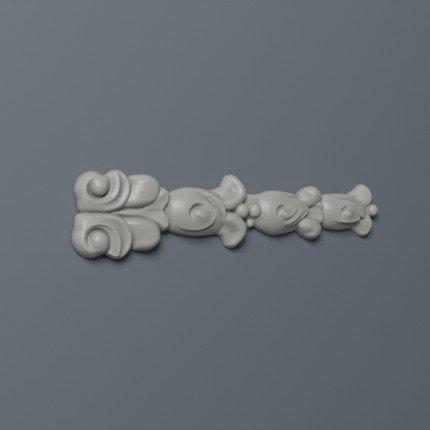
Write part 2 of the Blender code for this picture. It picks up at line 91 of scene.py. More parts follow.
RIDGE_HEIGHT = (7.4, 8.8, 11.0, 11.7, 11.9, 11.8, 11.4, 11.2, 11.2, 11.2, 11.2, 10.4, 9.2, 8.0)
VALLEY_RADIUS = (20.6, 20.3, 20.2, 19.9, 18.4, 15.4, 12.9, 12.2, 12.2, 11.9, 11.0, 10.4, 10.2, 10.2)
VALLEY_HEIGHT = (7.2, 8.0, 8.9, 9.2, 9.6, 10.2, 10.8, 10.9, 11.0, 10.9, 10.8, 10.0, 8.8, 7.6)
CREST_RADIUS = (21.6, 21.6, 23.0, 23.8, 22.2, 18.6, 15.6, 14.0, 13.6, 13.2, 11.8, 10.8, 10.8, 10.8)
CREST_HEIGHT = (7.4, 8.2, 9.8, 10.8, 11.0, 10.8, 10.0, 10.2, 10.3, 10.2, 10.2, 9.4, 8.4, 7.4)
RIM_RADIUS = (11.8, 19.2, 25.8, 28.2, 27.0, 22.6, 20.5, 20.8, 16.1, 15.0, 13.5, 12.3, 11.1, 10.4)
RIM_HEIGHT = (6.4, 6.8, 7.8, 9.0, 9.2, 8.4, 6.4, 5.0, 5.4, 6.2, 6.6, 6.6, 6.4, 6.2)
GROOVE_FADE = (45.0, 120.0)
LIP_OFFSET = (1.4, 1.4, 1.4, 1.4, 1.6, 2.0, 2.4, 3.1, 3.7, 3.8, 3.4, 2.6, 1.9, 1.6)
RING_GAP = 0.5
HEAD_ROLL = 5.2
CUT_DROP = 3.0
CUT_ROLL = 2.2

# The pair of lobes beyond the scrolls, mirrored about the same axis. A lobe stands low at its root and grows
# over a run of x, given as start and length. It falls from its spine with the square of the distance, by the
# first fall on the spine's left and by the second on its right.
LOBE_OUTLINE = ((-106, 2.5), (-95, 2.4), (-86, 2.6), (-76.2, 4.6), (-70.4, 9.4), (-68.4, 16.2),
                (-70.6, 23.2), (-78.0, 27.6), (-86, 27.8), (-93, 26.0), (-101, 18))
LOBE_SPINE = ((-106, 2.0), (-96, 5.6), (-87, 10.0), (-81.5, 16.0), (-80.0, 24.0), (-80.0, 34.0))
LOBE_LOW = 7.4
LOBE_RISE = 5.2
LOBE_FALL = (0.034, 0.014)
LOBE_ROLL = 6.6
LOBE_GROWS = (-106.0, 18.0)

# The calyx between and beyond the lobes, given as the flower centres below are.
CALYX = {
    "outline": ((-110, 2.2), (-96, 4.0), (-84, 6), (-76, 14), (-72.5, 19), (-67.5, 19.4), (-63.0, 16.6),
                (-61.2, 12), (-62.2, 6.6), (-65.6, 1.8), (-62.6, -3.2), (-61.2, -8), (-63.2, -12.4),
                (-68.5, -14.0), (-75, -10), (-84, -6), (-96, -4), (-110, -2.0)),
    "height": (8.6, 10.6),
    "x": (-80.0, -65.0),
    "roll": 4.6,
    "ridges": (
        (1.3, 3.0, ((-82, 6), (-76, 10.0), (-70, 13.6), (-63, 16.5))),
        (1.3, 3.0, ((-82, -3.4), (-76, -5.6), (-70, -8.4), (-63, -11.5))),
        (-0.9, 2.2, ((-88, 0.4), (-78, 0.6), (-70, 0.9), (-62, 1.2))),
    ),
}

# Each husk: stations along x with the upper and lower edge and the crown's height there, then what is cut
# into it or stands up from it. A ridge, or a furrow where its height is negative, is (height, reach, line).
# A lap is the free edge of a petal that wraps the husk: (height, reach, line). A mound stands in the husk's
# eye: (height, x, z, reach along, reach across, lean in degrees). A leaf lies on the husk and fades out
# towards its left: (height, roll, x where it starts and where it is full, outline).
HUSKS = (
    {
        "x": (-66, -61.5, -56, -48, -38, -28, -18, -12),
        "upper": (12.5, 14.6, 16.6, 18.9, 19.0, 17.3, 15.0, 11.0),
        "lower": (-11.0, -13.2, -15.2, -17.0, -18.1, -17.6, -16.0, -13.0),
        "crown": (7.0, 11.0, 14.0, 16.0, 16.0, 14.0, 10.8, 8.5),
        "ridges": (
            (-3.8, 2.1, ((-44.4, -6.8), (-47.2, -3.6), (-47.7, 0.0), (-45.4, 3.2), (-41.8, 4.4),
                         (-36.8, 3.4), (-33.4, 0.4))),
            (-1.5, 1.3, ((-43.0, 14.6), (-34.3, 10.4), (-29.0, 4.6), (-26.0, 0.0))),
            (-1.3, 1.1, ((-33.0, 15.0), (-26.4, 10.8), (-21.8, 4.8), (-18.4, -2.4))),
        ),
        "mounds": ((1.8, -39.0, -2.6, 6.4, 3.2, -30.0),),
        "laps": (
            (2.4, 4.5, ((-60.0, -9.6), (-54.0, -12.2), (-48.0, -13.6), (-43.5, -13.9), (-38.7, -13.4),
                        (-33.3, -11.4), (-29.0, -8.1), (-26.8, -3.9), (-26.6, 0.3), (-28.4, 3.6),
                        (-34.3, 10.2), (-40.2, 13.5))),
        ),
        "leaves": (
            (3.2, 2.8, (-38.0, -30.0), ((-40.0, 15.6), (-34.0, 13.0), (-29.4, 9.9), (-25.1, 4.7),
                                        (-20.8, -1.9), (-18.4, -5.8), (-16.4, -4.2), (-15.8, -0.2),
                                        (-16.4, 4.5), (-19.6, 9.5), (-25.4, 13.7), (-32.0, 16.4))),
        ),
    },
    {
        "x": (4, 9, 15, 20, 26, 32, 40, 50, 58, 66),
        "upper": (13.6, 14.0, 13.7, 14.4, 16.2, 16.9, 16.5, 14.8, 13.0, 10.5),
        "lower": (-8.0, -10.0, -12.2, -14.6, -17.2, -18.6, -18.2, -16.4, -14.5, -12.0),
        "crown": (8.0, 8.6, 10.2, 13.8, 15.6, 15.8, 13.8, 10.6, 9.0, 8.0),
        "ridges": (
            (-2.8, 1.5, ((39.0, 2.0), (35.9, 3.6), (32.5, 3.4), (29.8, 1.4), (29.1, -1.8), (31.1, -5.2))),
            (-1.1, 0.9, ((49.5, -7.4), (53.3, -4.6), (58.2, -0.6), (60.5, 3.0))),
            (-0.5, 2.2, ((10.4, 17.5), (12.9, 13.2), (16.0, 9.0), (17.7, 4.9), (18.2, 0.0), (17.0, -6.0))),
        ),
        "mounds": ((2.0, 35.2, -2.2, 4.4, 2.6, -25.0),),
        "laps": (
            (1.5, 3.0, ((32.0, -7.2), (35.7, -6.3), (40.5, -4.4), (44.6, -1.5), (48.9, 2.7), (50.2, 6.5))),
            (1.9, 3.0, ((33.0, -11.9), (37.1, -11.1), (41.8, -9.6), (47.2, -6.7), (51.2, -2.3), (51.8, 2.6),
                        (50.9, 8.1), (48.0, 12.0))),
        ),
        "leaves": (
            (2.6, 2.4, (32.0, 48.0), ((26.0, 14.6), (35.4, 14.0), (43.1, 11.4), (49.5, 11.4), (55.3, 10.1),
                                      (60.2, 6.6), (63.0, 2.6), (62.0, -1.6), (57.6, -5.2), (51.0, -9.6),
                                      (46.0, -11.8), (36.0, -13.2), (26.0, -13.0))),
        ),
    },
    {
        "x": (75, 78, 82, 88, 98, 107, 114, 120, 126),
        "upper": (11.0, 12.4, 13.6, 14.3, 14.5, 14.0, 11.5, 9.0, 6.0),
        "lower": (-11.5, -12.6, -13.8, -15.0, -15.7, -15.0, -12.5, -10.0, -7.0),
        "crown": (8.0, 10.6, 12.8, 13.6, 13.0, 10.8, 9.4, 8.2, 6.5),
        "ridges": (
            (-2.4, 1.3, ((100.3, 1.2), (97.5, 2.4), (94.5, 1.6), (92.5, -0.4), (92.1, -3.2), (94.1, -6.0))),
            (-2.2, 0.9, ((109.0, -2.0), (112.6, -5.0), (115.6, -7.0), (121.0, -7.4), (126.0, -6.4))),
        ),
        "mounds": ((1.7, 98.0, -2.8, 3.8, 2.4, -30.0),),
        "laps": (
            (1.6, 2.6, ((82.0, -8.2), (92.0, -9.6), (101.1, -10.2), (106.8, -9.8), (111.2, -8.7),
                        (113.6, -4.8), (112.8, 0.0), (109.0, 4.0))),
        ),
        "leaves": (
            (3.0, 2.0, (82.0, 106.0), ((84.0, 10.6), (94.0, 10.2), (101.0, 9.4), (108.8, 7.2),
                                       (116.1, 3.0), (119.0, -2.4), (121.2, -6.6), (117.5, -7.6),
                                       (114.4, -6.6), (112.6, -8.6), (106.8, -10.4), (101.0, -10.8),
                                       (94.0, -10.8), (84.0, -10.0))),
        ),
    },
)
HUSK_EDGE = 0.5
RIDGE_FADE = 0.45
LAP_FADE = 0.3
LAP_STEP = 0.9
LAP_START = 0.2
LAP_DROP = 0.5
LAP_DROP_REACH = 0.35

# Each pair of flared petals, mirrored about its own axis: the upper petal's outline and crest, the crest's
# height with the dish's depth and reach short of it and the fall beyond it, its roll, where along x the
# petal rises out of the husk, with how far it is sunk there, and where across it begins to fall to its tip,
# with that fall. Beyond is on the left of the crest's run. A fall grows with the square of the distance.
FLARES = (
    {
        "axis": 0.5,
        "outline": ((-26, 14), (-20.2, 17.2), (-15.7, 19.3), (-13.2, 23.2), (-11.0, 26.6), (-6.4, 28.4),
                    (-2.2, 27.4), (1.6, 23.4), (4.2, 18.8), (5.6, 13.0), (5.0, 9.0), (1.0, 3.0),
                    (-6.0, -0.5), (-14.0, -1.5), (-24.0, 0.0)),
        "crest": ((-12.5, 35.0), (-9.4, 29.8), (-6.3, 25.2), (-3.6, 21.2), (-2.2, 17.4), (-2.6, 13.6),
                  (-5.8, 9.6), (-10.4, 7.0), (-16.0, 5.6), (-28.0, 5.0)),
        "height": (13.6, 5.0, 4.4, 0.09),
        "roll": 4.0,
        "root": (-27.0, -11.0, 4.0),
        "tip": (10.0, 0.022),
    },
    {
        "axis": -1.1,
        "outline": ((50, 9), (56, 15.6), (60.6, 18.8), (65.5, 21.0), (71.1, 21.6), (75.0, 19.8),
                    (77.0, 16.8), (78.0, 12.6), (76.8, 8.4), (71, 5.0), (63, 2.5), (54, 2)),
        "crest": ((61.0, 29.0), (64.0, 23.4), (66.8, 18.6), (67.2, 14.4), (64.4, 11.6), (58.5, 10.4),
                  (46.0, 9.2)),
        "height": (12.4, 4.0, 4.6, 0.05),
        "roll": 3.6,
        "root": (50.0, 62.0, 3.5),
        "tip": (11.0, 0.04),
    },
    {
        "axis": 0.3,
        "outline": ((107, 12), (111.4, 15.5), (115.5, 18.2), (118.9, 20.7), (122.9, 21.8), (125.6, 20.6),
                    (127.6, 17.6), (129.0, 13), (128.8, 8), (126, 3.4), (120.3, 1.0), (112, 1.0)),
        "crest": ((125.2, 30.0), (126.0, 22.0), (127.0, 17.4), (127.0, 12.6), (122.0, 9.0), (104.0, 7.0)),
        "height": (9.8, 1.2, 6.0, 0.05),
        "roll": 2.8,
        "root": (110.0, 124.0, 4.5),
        "tip": (8.0, 0.022),
    },
)

# The flower centre between each pair of flared petals: its outline, its height at its root and at its rim,
# where along x those lie, its roll, and its ridges, given as a husk's are.
CENTRES = (
    {
        "outline": ((-8.4, 0.8), (-4.6, 3.6), (-1.0, 5.6), (2.4, 5.4), (4.4, 1.0), (2.4, -3.2),
                    (-1.0, -3.8), (-4.6, -1.8)),
        "height": (12.0, 12.0),
        "x": (-8.4, 4.4),
        "roll": 5.0,
        "ridges": (),
    },
    {
        "outline": ((57, 4), (64, 5.4), (70, 8.6), (74.6, 8.8), (78.0, 4.8), (77.0, 0.2), (78.2, -4.6),
                    (76.8, -9.8), (72, -11.4), (64, -8.4), (57, -6)),
        "height": (8.4, 10.2),
        "x": (64.0, 76.0),
        "roll": 3.0,
        "ridges": (
            (1.0, 2.0, ((62, 4.6), (68, 5.8), (74, 5.4), (80, 5))),
            (1.0, 2.0, ((62, -4.4), (68, -5.2), (74, -6.2), (80, -7))),
        ),
    },
    {
        "outline": ((112, 7), (118, 7.6), (124, 7.4), (129.4, 5.6), (128.4, -2.0), (129.0, -6.6),
                    (124, -8.6), (112, -7)),
        "height": (6.4, 7.4),
        "x": (116.0, 127.0),
        "roll": 3.0,
        "ridges": (),
    },
)

# Beads: x, z, radius, and the height of the bead's middle.
BEADS = ((-0.7, 1.0, 6.1, 8.2), (11.4, 1.0, 5.9, 7.0), (9.2, -8.4, 3.8, 3.8), (130.8, 0.3, 5.2, 4.5))

# The finer surface, and how far the casting softens it.
SURFACE_SPACING = 0.36 * MM
CREASE_SOFTENING = 2
# Reach and depth of the measure of hollows and crests that places the painted shade and painted highlight.
PAINTED_LIGHT_REACH = 60
PAINTED_LIGHT_DEPTH = 1.2 * MM
CUT_TOLERANCE = 1e-7

# The resin's colours and skin, with the painted shade for its hollows and the painted highlight for its
# crests.
CAST_COLOUR = (0.30, 0.305, 0.278, 1.0)
MOTTLE_NAME = "Soft Mottle"
MOTTLE_COLOUR = (0.27, 0.275, 0.25, 1.0)
MOTTLE_SCALE = 45.0
MOTTLE_SHARE = 0.6
MOTTLE_DETAIL = 3.0
MOTTLE_ROUGHNESS = 0.55
# Painted shade: a dark colour mixed into the hollows, most where a hollow lies deepest.
PAINTED_SHADE_COLOUR = (0.10, 0.102, 0.092, 1.0)
PAINTED_SHADE_SHARE = 0.6
# Painted highlight: a light colour mixed onto the crests, most where a crest stands highest above its
# surroundings.
PAINTED_HIGHLIGHT_COLOUR = (0.44, 0.445, 0.405, 1.0)
PAINTED_HIGHLIGHT_SHARE = 0.8
CAST_ROUGHNESS = 0.42
ROUGHNESS_SPREAD = 0.05
CAST_GLOSS = 0.8
GRAIN_SCALE = 1400.0
GRAIN_DETAIL = 2.0
GRAIN_STRENGTH = 0.5
GRAIN_DEPTH = 0.04 * MM

# The sockets of a colour mix node that hold its two colours and its result.
MIX_FIRST = 6
MIX_SECOND = 7
MIX_RESULT = 2

# The stage, in metres.
WALL_COLOUR = (0.112, 0.129, 0.154, 1.0)
WALL_MOTTLE = (0.105, 0.121, 0.145, 1.0)
WALL_MOTTLE_SCALE = 9.0
WALL_ROUGHNESS = 0.75
WALL_GAP = 0.0003
FLOOR_COLOUR = (0.72, 0.72, 0.70, 1.0)
FLOOR_MOTTLE = (0.68, 0.68, 0.66, 1.0)
FLOOR_MOTTLE_SCALE = 6.0
FLOOR_ROUGHNESS = 0.8
STAGE_MOTTLE_SHARE = 0.5
STAGE_GRAIN_SCALE = 300.0
FLOOR_DROP = 1.5
ROOM = 3.0
KEY_PLACE = (-0.86, -1.28, 0.88)
KEY_SIZE = 0.8
KEY_POWER = 40.0
FILL_PLACE = (0.70, -1.55, 0.10)
FILL_SIZE = 1.2
FILL_POWER = 3.0
LIGHT_AIM = Vector((0.0, 0.0, 0.0))
SKY_COLOUR = (1.0, 1.0, 1.0, 1.0)
SKY_STRENGTH = 0.01

# The camera, level and turned from square on towards the scroll head.
CAMERA_PLACE = (-0.3948, -0.64269, -0.0023)
CAMERA_TURN = np.radians(30.3)
CAMERA_LEAN = np.radians(0.573)
CAMERA_SENSOR = 36.0
CAMERA_LENS = 81.2


def swell(t):
    """Rises from 0 to 1, level at both ends."""
    t = np.clip(t, 0.0, 1.0)
    return t * t * (3.0 - 2.0 * t)


def hollow(t):
    """Rises from 0 to 1, level at the start and steepest at the end."""
    return np.clip(t, 0.0, 1.0) ** 2


def scoop(t):
    """Rises from 0 to 1, steepest at the start and level at the end."""
    return 1.0 - hollow(1.0 - t)


def quarter(t):
    """Rises from 0 to 1 as a quarter circle, upright at the start and level at the end."""
    return np.sqrt(1.0 - (1.0 - np.clip(t, 0.0, 1.0)) ** 2)


def soft_max(a, b, fillet):
    """The higher of two heights, with the crease between them filled."""
    share = np.clip(0.5 + 0.5 * (a - b) / fillet, 0.0, 1.0)
    return b + (a - b) * share + fillet * share * (1.0 - share)


def shoulder(t):
    """Rises from 0 to 1 a little more steeply towards the end."""
    return np.clip(t, 0.0, 1.0) ** 1.5


def through(x, knots, values):
    """A smooth curve through the values at the knots, level beyond both ends."""
    knots, values = np.asarray(knots, float), np.asarray(values, float)
    slope = np.gradient(values, knots)
    slope[0] = slope[-1] = 0.0
    x = np.clip(x, knots[0], knots[-1])
    i = np.clip(np.searchsorted(knots, x) - 1, 0, len(knots) - 2)
    width = knots[i + 1] - knots[i]
    t = (x - knots[i]) / width
    level = values[i] + (values[i + 1] - values[i]) * swell(t)
    return level + width * (slope[i] * t * (1 - t) ** 2 - slope[i + 1] * t * t * (1 - t))


def smooth_line(points, closed=False, steps=8):
    """A polyline along the smooth curve through the points."""
    p = np.asarray(points, float)
    if closed:
        p = np.vstack([p[-1:], p, p[:2]])
    else:
        p = np.vstack([2 * p[:1] - p[1:2], p, 2 * p[-1:] - p[-2:-1]])
    t = np.arange(steps)[:, None] / steps
    runs = []
    for before, a, b, after in zip(p[:-3], p[1:-2], p[2:-1], p[3:]):
        bend = 2 * before - 5 * a + 4 * b - after
        twist = 3 * a - before - 3 * b + after
        runs.append(a + 0.5 * ((b - before) * t + bend * t**2 + twist * t**3))
    line = np.vstack(runs)
    return line if closed else np.vstack([line, p[-2:-1]])


def to_line(x, z, line):
    """Distance from each place to a polyline, its side (1 on the left) and its share of the run."""
    best = np.full(x.shape, np.inf)
    side = np.ones(x.shape)
    share = np.zeros(x.shape)
    steps = np.diff(line, axis=0)
    lengths = np.hypot(*steps.T)
    done = 0.0
    for (ax, az), (dx, dz), length in zip(line[:-1], steps, lengths):
        px, pz = x - ax, z - az
        t = np.clip((px * dx + pz * dz) / length**2, 0.0, 1.0)
        gap = (px - t * dx) ** 2 + (pz - t * dz) ** 2
        nearer = gap < best
        best = np.where(nearer, gap, best)
        side = np.where(nearer, np.sign(dx * pz - dz * px), side)
        share = np.where(nearer, (done + t * length) / lengths.sum(), share)
        done += length
    return np.sqrt(best), side, share


def into_outline(x, z, points):
    """Signed distance into the smooth closed outline through the points, positive inside."""
    line = smooth_line(points, closed=True)
    line = np.vstack([line, line[:1]])
    distance, _, _ = to_line(x, z, line)
    crossings = np.zeros(x.shape, int)
    for (ax, az), (bx, bz) in zip(line[:-1], line[1:]):
        if az != bz:
            crossings += ((az > z) != (bz > z)) & (x < ax + (bx - ax) * (z - az) / (bz - az))
    return np.where(crossings % 2 == 1, distance, -distance)


def rolled(depth_in, top, roll, edge=WALL_TOP):
    """A form's height: a wall up to its edge, then a quarter round of this width up to its top."""
    return edge + (top - edge) * quarter(depth_in / roll) + WALL_SLOPE * np.minimum(depth_in, 0.0)


def scroll(x, z):
    """The upper volute: rings of height round its eye."""

    def round_about(cx, cz):
        dx, dz = x - cx, z - cz
        return np.hypot(dx, dz), (np.degrees(np.arctan2(-dz, dx)) - TURN[0]) % 360.0 + TURN[0]

    radius, turn = round_about(*EYE)

    def ring(values):
        return through(turn, TURN, values)

    fade = swell((turn - GROOVE_FADE[0]) / (GROOVE_FADE[1] - GROOVE_FADE[0]))

    def ridge_side(t):
        return hollow(t) * (1 - fade) + swell(t) * fade

    groove = ring(GROOVE_RADIUS)
    lip = groove + ring(LIP_OFFSET)
    ridge = np.maximum(ring(RIDGE_RADIUS), lip + RING_GAP)
    valley = np.maximum(ring(VALLEY_RADIUS), ridge + RING_GAP)
    crest = np.maximum(ring(CREST_RADIUS), valley + RING_GAP)
    rim = np.maximum(ring(RIM_RADIUS), crest + RING_GAP)
    radii = (groove, lip, ridge, valley, crest, rim)
    rows = (GROOVE_HEIGHT, LIP_HEIGHT, RIDGE_HEIGHT, VALLEY_HEIGHT, CREST_HEIGHT, RIM_HEIGHT)
    heights = [ring(row) for row in rows]
    eases = (swell, ridge_side, scoop, swell, shoulder)
    height = EYE_BASE + (heights[0] - EYE_BASE) * swell(radius / groove)
    for i, ease in enumerate(eases):
        t = (radius - radii[i]) / (radii[i + 1] - radii[i])
        height = height + (heights[i + 1] - heights[i]) * ease(t)
    from_cut = radius * np.sin(np.radians(np.clip(turn - TURN[0], 0.0, 90.0)))
    opened = swell((radius - groove) / (lip - groove))
    height = height - opened * CUT_DROP * (1 - quarter(from_cut / CUT_ROLL))
    height = rolled(ring(RIM_RADIUS) - radius, height, HEAD_ROLL)
    out, eye_turn = round_about(EYE[0] + EYE_TOP[0], EYE[1] + EYE_TOP[1])
    eye_radius = through(eye_turn, TURN, EYE_RADIUS)
    eye = EYE_BASE + (EYE_HEIGHT - EYE_BASE) * quarter(1.0 - out / eye_radius)
    eye -= WALL_SLOPE * np.maximum(out - eye_radius, 0.0)
    fillet = fade * (1 - swell((turn - EYE_CLEARS[0]) / (EYE_CLEARS[1] - EYE_CLEARS[0])))
    return soft_max(height, eye, EYE_FILLET[0] + (EYE_FILLET[1] - EYE_FILLET[0]) * fillet)


def lobe(x, z):
    """The upper lobe, highest along its spine."""
    from_spine, side, _ = to_line(x, z, smooth_line(LOBE_SPINE))
    fall = np.where(side > 0, LOBE_FALL[0], LOBE_FALL[1])
    grown = swell((x - LOBE_GROWS[0]) / LOBE_GROWS[1])
    top = LOBE_LOW + LOBE_RISE * grown - fall * from_spine**2
    return rolled(into_outline(x, z, LOBE_OUTLINE), top, LOBE_ROLL)


def line_fade(share, reach):
    """1 along a line, falling to 0 over this share of it at both ends."""
    return swell(share / reach) * swell((1 - share) / reach)


def ridge(x, z, height, reach, points):
    """A soft ridge along a line, or a furrow where its height is negative."""
    distance, _, share = to_line(x, z, smooth_line(points))
    return height * line_fade(share, RIDGE_FADE) * np.exp(-((distance / reach) ** 2))


def lap(x, z, height, reach, points):
    """A petal's free edge: the surface on the left of the line swells up to it and drops beyond it."""
    distance, side, share = to_line(x, z, smooth_line(points))
    swollen = height * np.exp(-distance / reach) * swell(distance / LAP_STEP + LAP_START)
    dropped = -LAP_DROP * height * np.exp(-((distance / (LAP_DROP_REACH * reach)) ** 2))
    return line_fade(share, LAP_FADE) * np.where(side > 0, swollen, dropped)


def mound(x, z, height, cx, cz, along, across, lean):
    """A soft oval rise, its length leaning up from the x axis."""
    turn = np.radians(lean)
    u = (x - cx) * np.cos(turn) + (z - cz) * np.sin(turn)
    v = (z - cz) * np.cos(turn) - (x - cx) * np.sin(turn)
    return height * np.exp(-((u / along) ** 2) - (v / across) ** 2)


def husk(x, z, form):
    """A long bud, half round across, with its eye and wrapped petals."""
    upper = through(x, form["x"], form["upper"])
    lower = through(x, form["x"], form["lower"])
    crown = through(x, form["x"], form["crown"])
    half = 0.5 * (upper - lower)
    out = np.abs(z - 0.5 * (upper + lower)) / half
    height = HUSK_EDGE + (crown - HUSK_EDGE) * np.sqrt(1.0 - np.clip(out, 0.0, 1.0) ** 2)
    height -= WALL_SLOPE * np.maximum(out - 1.0, 0.0) * half
    height -= WALL_SLOPE * np.maximum(np.maximum(form["x"][0] - x, x - form["x"][-1]), 0.0)
    for rise, reach, points in form["ridges"]:
        height += ridge(x, z, rise, reach, points)
    for place in form["mounds"]:
        height += mound(x, z, *place)
    for rise, reach, points in form["laps"]:
        height += lap(x, z, rise, reach, points)
    for rise, roll, (start, full), points in form["leaves"]:
        height += rise * scoop(into_outline(x, z, points) / roll) * swell((x - start) / (full - start))
    return height


def petal(x, z, form):
    """A petal that rises from its root to its rim."""
    root, rim = form["height"]
    start, end = form["x"]
    top = root + (rim - root) * swell((x - start) / (end - start))
    for rise, reach, points in form["ridges"]:
        top += ridge(x, z, rise, reach, points)
    return rolled(into_outline(x, z, form["outline"]), top, form["roll"])


def flare(x, z, form):
    """A flared petal: dished up to its crest, and falling away beyond it."""
    crest, dish, reach, fall = form["height"]
    start, end, sink = form["root"]
    distance, side, _ = to_line(x, z, smooth_line(form["crest"]))
    dished = dish * (1.0 - np.exp(-((distance / reach) ** 2)))
    fallen = np.where(side > 0, fall * distance**2, dished)
    top = crest - fallen - sink * (1.0 - swell((x - start) / (end - start)))
    bend, slope = form["tip"]
    top -= slope * np.maximum(z - bend, 0.0) ** 2
    return rolled(into_outline(x, z, form["outline"]), top, form["roll"])


def bead(x, z, cx, cz, radius, middle):
    """A ball whose middle stands at this height."""
    out = np.hypot(x - cx, z - cz)
    crown = np.sqrt(np.clip(radius**2 - out**2, 0.0, None))
    return middle + crown - WALL_SLOPE * np.maximum(out - radius, 0.0)


def relief(x, z):
    """The carving's height above the back, in millimetres."""
    from_axis = np.abs(z - HEAD_AXIS)
    scale = np.where(z < HEAD_AXIS, LOWER_SCALE, 1.0)
    forms = [scroll((x - LOWER_PIVOT) / scale + LOWER_PIVOT, from_axis / scale), lobe(x, from_axis)]
    forms.append(petal(x, z, CALYX))
    for form in HUSKS:
        forms.append(husk(x, z, form))
    for form in FLARES:
        for side in (1, -1):
            forms.append(flare(x, side * (z - form["axis"]), form))
    for form in CENTRES:
        forms.append(petal(x, z, form))
    for place in BEADS:
        forms.append(bead(x, z, *place))
    return np.maximum.reduce(forms)


def carved_blank(spacing):
    """A flat blank, trimmed round the carving, that carries the carving's height at each of its points."""
    x = np.arange(BLANK_X[0], BLANK_X[1], spacing)
    z = np.arange(BLANK_Z[0], BLANK_Z[1], spacing)
    grid_x, grid_z = np.meshgrid(x, z)
    height = np.maximum(relief(grid_x, grid_z), BELOW_BACK)
    kept = height > BELOW_BACK
    for _ in range(BLANK_MARGIN):
        wider = kept.copy()
        wider[1:] |= kept[:-1]
        wider[:-1] |= kept[1:]
        wider[:, 1:] |= kept[:, :-1]
        wider[:, :-1] |= kept[:, 1:]
        kept = wider
    place = np.arange(height.size).reshape(height.shape)
    corners = (place[:-1, :-1], place[:-1, 1:], place[1:, 1:], place[1:, :-1])
    faces = np.stack([corner.ravel() for corner in corners], axis=1)
    faces = faces[kept.ravel()[faces].all(axis=1)]
    used, faces = np.unique(faces, return_inverse=True)
    flat = np.stack([grid_x.ravel(), np.zeros(height.size), grid_z.ravel()], axis=1)[used] * MM
    mesh = bpy.data.meshes.new("carved_blank")
    mesh.from_pydata(flat.tolist(), [], faces.reshape(-1, 4).tolist())
    heights = mesh.attributes.new("relief", "FLOAT", "POINT")
    heights.data.foreach_set("value", (height.ravel()[used] * MM).astype(np.float32))
    return mesh


def add_node(tree, kind, **settings):
    """A node of this kind with these settings."""
    node = tree.nodes.new(kind)
    for name, value in settings.items():
        setattr(node, name, value)
    return node


def add_socket(tree, name, kind, default=None, out=False):
    """A named socket of a node group."""
    direction = "OUTPUT" if out else "INPUT"
    socket = tree.interface.new_socket(name=name, in_out=direction, socket_type="NodeSocket" + kind)
    if default is not None:
        socket.default_value = default
    return socket


def cast_relief_tree():
    """Geometry nodes that raise the carving out of the blank, soften its creases and measure its hollows and
    crests for the painted shade and highlight.
    """
    tree = bpy.data.node_groups.new("Cast Relief", "GeometryNodeTree")
    tree.is_modifier = True
    add_socket(tree, "Blank", "Geometry")
    add_socket(tree, "Depth", "Float", 1.0)
    add_socket(tree, "Crease Softening", "Int", CREASE_SOFTENING)
    add_socket(tree, "Painted Light Reach", "Int", PAINTED_LIGHT_REACH)
    add_socket(tree, "Painted Light Depth", "Float", PAINTED_LIGHT_DEPTH)
    add_socket(tree, "Finish", "Material")
    add_socket(tree, "Casting", "Geometry", out=True)
    given = add_node(tree, "NodeGroupInput")
    result = add_node(tree, "NodeGroupOutput")
    height = add_node(tree, "GeometryNodeInputNamedAttribute", data_type="FLOAT")
    height.inputs["Name"].default_value = "relief"
    softened = add_node(tree, "GeometryNodeBlurAttribute", data_type="FLOAT")
    around = add_node(tree, "GeometryNodeBlurAttribute", data_type="FLOAT")
    lift = add_node(tree, "ShaderNodeMath", operation="MULTIPLY")
    forward = add_node(tree, "ShaderNodeMath", operation="MULTIPLY")
    forward.inputs[1].default_value = -1.0
    offset = add_node(tree, "ShaderNodeCombineXYZ")
    raised = add_node(tree, "GeometryNodeSetPosition")
    # How far each point lies below its blurred surroundings, in shares of the depth: positive in hollows for
    # the painted shade, negative on crests for the painted highlight.
    below = add_node(tree, "ShaderNodeMath", operation="SUBTRACT")
    share = add_node(tree, "ShaderNodeMath", operation="DIVIDE")
    marked = add_node(tree, "GeometryNodeStoreNamedAttribute", data_type="FLOAT", domain="POINT")
    marked.inputs["Name"].default_value = "hollow_for_painted_light"
    smooth = add_node(tree, "GeometryNodeSetShadeSmooth")
    whole = add_node(tree, "GeometryNodeRealizeInstances")
    finished = add_node(tree, "GeometryNodeSetMaterial")
    for source, target in (
        (height.outputs["Attribute"], softened.inputs["Value"]),
        (given.outputs["Crease Softening"], softened.inputs["Iterations"]),
        (softened.outputs["Value"], lift.inputs[0]),
        (given.outputs["Depth"], lift.inputs[1]),
        (lift.outputs[0], forward.inputs[0]),
        (forward.outputs[0], offset.inputs["Y"]),
        (softened.outputs["Value"], around.inputs["Value"]),
        (given.outputs["Painted Light Reach"], around.inputs["Iterations"]),
        (around.outputs["Value"], below.inputs[0]),
        (softened.outputs["Value"], below.inputs[1]),
        (below.outputs[0], share.inputs[0]),
        (given.outputs["Painted Light Depth"], share.inputs[1]),
        (given.outputs["Blank"], marked.inputs["Geometry"]),
        (share.outputs[0], marked.inputs["Value"]),
        (marked.outputs["Geometry"], raised.inputs["Geometry"]),
        (offset.outputs["Vector"], raised.inputs["Offset"]),
        (raised.outputs["Geometry"], smooth.inputs["Geometry"]),
        (smooth.outputs["Geometry"], whole.inputs["Geometry"]),
        (whole.outputs["Geometry"], finished.inputs["Geometry"]),
        (given.outputs["Finish"], finished.inputs["Material"]),
        (finished.outputs["Geometry"], result.inputs["Casting"]),
    ):
        tree.links.new(source, target)
    return tree


def applied(owner, tree, values):
    """The plain mesh that the tree makes of the object with these values at its named inputs."""
    modifier = owner.modifiers.new(tree.name, "NODES")
    modifier.node_group = tree
    for socket in tree.interface.items_tree:
        if socket.name in values:
            modifier[socket.identifier] = values[socket.name]
    graph = bpy.context.evaluated_depsgraph_get()
    mesh = bpy.data.meshes.new_from_object(owner.evaluated_get(graph), depsgraph=graph)
    owner.modifiers.remove(modifier)
    return mesh


